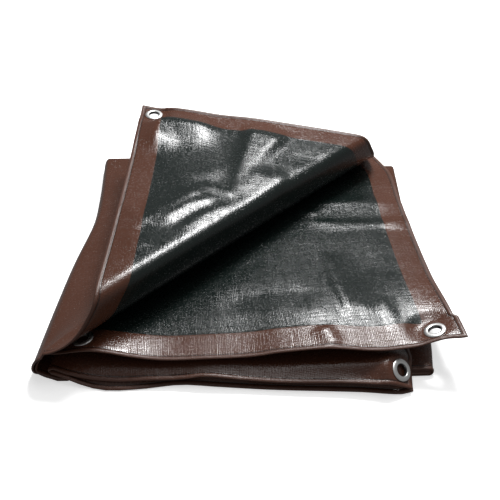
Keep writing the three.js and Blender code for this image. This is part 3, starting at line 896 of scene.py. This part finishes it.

# %% [markdown]
# The sheet is brown on one face and green on the other, and the hem shows the brown face turned over,
# so the face and the distance from the edge pick the colour. The groove beside the bead is painted
# nearly black, as painted shade in the recess. Handling has dulled the film a little, in clouds, and the
# tight edge is duller.

# %% Colours and shine of the cloth
BROWN, WORN_BROWN = (0.066, 0.023, 0.012, 1), (0.078, 0.030, 0.018, 1)
# The nearly black groove colour is painted shade in the hem's groove.
GREEN, GROOVE_PAINTED_SHADE = (0.005, 0.009, 0.008, 1), (0.008, 0.004, 0.003, 1)
HEM_LINE = 0.25
GROOVE_OPENS, GROOVE_CLOSES = (3.9, 4.7), (5.2, 6.2)
GROOVE_SHADE_WEIGHT = 0.75
WORN_SCALE, WORN_RANGE = 9.0, (0.35, 0.7)
BEAD_ENDS = (4.4, 5.4)
FILM, FILM_WORN, FILM_UNEVEN, FILM_BEAD = 0.10, 0.06, 0.18, 0.2

edge_mm = attribute(start, "edge")
field = edge_mm.step(HEM - HEM_LINE, HEM + HEM_LINE) * attribute(start, "green_face")
groove = edge_mm.step(*GROOVE_OPENS) * (1 - edge_mm.step(*GROOVE_CLOSES))
worn = noise(start, flat_place, WORN_SCALE, 4.0).step(*WORN_RANGE)
colour = field.pick(worn.pick(BROWN, WORN_BROWN), GREEN)
# Painted shade: the groove beside the bead is mixed towards nearly black.
connect((groove * GROOVE_SHADE_WEIGHT).pick(colour, GROOVE_PAINTED_SHADE), shader, "Base Color")
on_bead = 1 - edge_mm.step(*BEAD_ENDS)
shine = FILM + FILM_WORN * worn + FILM_UNEVEN * crossing_height + FILM_BEAD * on_bead
connect(shine, shader, "Roughness")
tarp.data.materials.append(cloth_finish)
print("cloth finish:", len(cloth_finish.node_tree.nodes), "nodes")

# %% [markdown]
# The eyelets are pressed from bright aluminium sheet with fine scuffs. Inside the bore the metal is
# painted
# darker past the flange: painted shade, where the bore looks into the dark pack.

# %% Eyelet finish
# The dark grey of the bore is painted shade.
BRIGHT, BORE_PAINTED_SHADE = (0.8, 0.8, 0.79, 1), (0.2, 0.2, 0.2, 1)
BORE_TO_FLANGE = (5.9, 6.9)
SCUFF_SCALE, POLISH, SCUFF_DEPTH = 900.0, 0.3, 0.16

metal_finish, shader, start = new_finish("pressed_aluminium", Metallic=1.0)
scuffs = start.node("ShaderNodeTexNoise", Scale=SCUFF_SCALE, Detail=2.0)
on_flange = attribute(start, "radius").step(*BORE_TO_FLANGE)
# Inside the flange the bore takes the dark painted shade colour.
connect(on_flange.pick(BORE_PAINTED_SHADE, BRIGHT), shader, "Base Color")
connect(POLISH + SCUFF_DEPTH * scuffs, shader, "Roughness")
for ring in eyelets:
    ring.data.materials.append(metal_finish)
print("eyelet finish:", len(metal_finish.node_tree.nodes), "nodes")

# %% [markdown]
# ## Studio
#
# The photograph has a white ground and one strong light behind and above the tarp. The flat cloth
# throws that light past the camera and stays dark; only the slopes of the creases throw it back, in
# patches. A faint backdrop and a wide box overhead lift the rest. The floor glows a little and is
# hidden from reflections, so it stays pale without greying the cloth.

# %% Floor and world
WHITE = (1, 1, 1, 1)
FLOOR_SIZE, FLOOR_DROP = 8, 0.0005

bpy.ops.mesh.primitive_plane_add(size=FLOOR_SIZE, location=(0, 0, -FLOOR_DROP))
floor = bpy.context.object
floor.name = "studio_floor"
floor_finish, _, _ = new_finish(
    "white_ground",
    Roughness=0.9,
    Base_Color=(0.9, 0.9, 0.9, 1),
    Emission_Color=WHITE,
    Emission_Strength=0.55,
)
floor.data.materials.append(floor_finish)
floor.visible_diffuse = floor.visible_glossy = False

world = bpy.data.worlds.new("studio")
world.use_nodes = True
background = world.node_tree.nodes["Background"]
background.inputs["Color"].default_value = WHITE
background.inputs["Strength"].default_value = 0.22
bpy.context.scene.world = world
print("floor:", FLOOR_SIZE, "m wide")

# %% Lights and camera
SOFTBOXES = [
    # name, azimuth and elevation in degrees, distance, size, radiance
    ("key_behind", 20, 60, 1.3, (0.40, 0.26), 66),
    ("backdrop", 34, 40, 1.8, (1.1, 0.42), 0.35),
    ("overhead", 60, 80, 1.3, (0.8, 0.8), 2.0),
]
AIM = Vector((0, 0, 0.05))
CAMERA_PLACE, CAMERA_TILT = (0.002841, -0.645616, 0.518), 52
CAMERA_LENS, CAMERA_SENSOR = 50.4, 36


def softbox(name, azimuth, elevation, distance, size, radiance):
    """A rectangle of light that faces the tarp, from a direction as seen over the camera's head."""
    light = bpy.data.lights.new(name, "AREA")
    light.shape, light.size, light.size_y = "RECTANGLE", *size
    light.energy = radiance * math.pi * size[0] * size[1]
    a, e = math.radians(azimuth), math.radians(elevation)
    way = Vector((math.sin(a) * math.cos(e), math.cos(a) * math.cos(e), math.sin(e)))
    made = bpy.data.objects.new(name, light)
    made.location = way * distance + AIM
    made.rotation_euler = way.to_track_quat("Z", "Y").to_euler()
    bpy.context.scene.collection.objects.link(made)


for row in SOFTBOXES:
    softbox(*row)

camera = bpy.data.objects.new("photo_camera", bpy.data.cameras.new("photo_camera"))
camera.data.lens, camera.data.sensor_width = CAMERA_LENS, CAMERA_SENSOR
camera.location = CAMERA_PLACE
camera.rotation_euler = (math.radians(CAMERA_TILT), 0, 0)
bpy.context.scene.collection.objects.link(camera)
bpy.context.scene.camera = camera
bpy.context.scene.view_settings.view_transform = "Standard"
print("lights:", len(SOFTBOXES), "- camera:", round(camera.location.length, 3), "m from the middle")

# %% [markdown]
# ## The last step
#
# The tarp is held in its folds and rests on the floor, and its eyelets are attached to the same root as
# the sheet. The view layer is updated once more.

# %% Last update of the scene
bpy.context.view_layer.update()
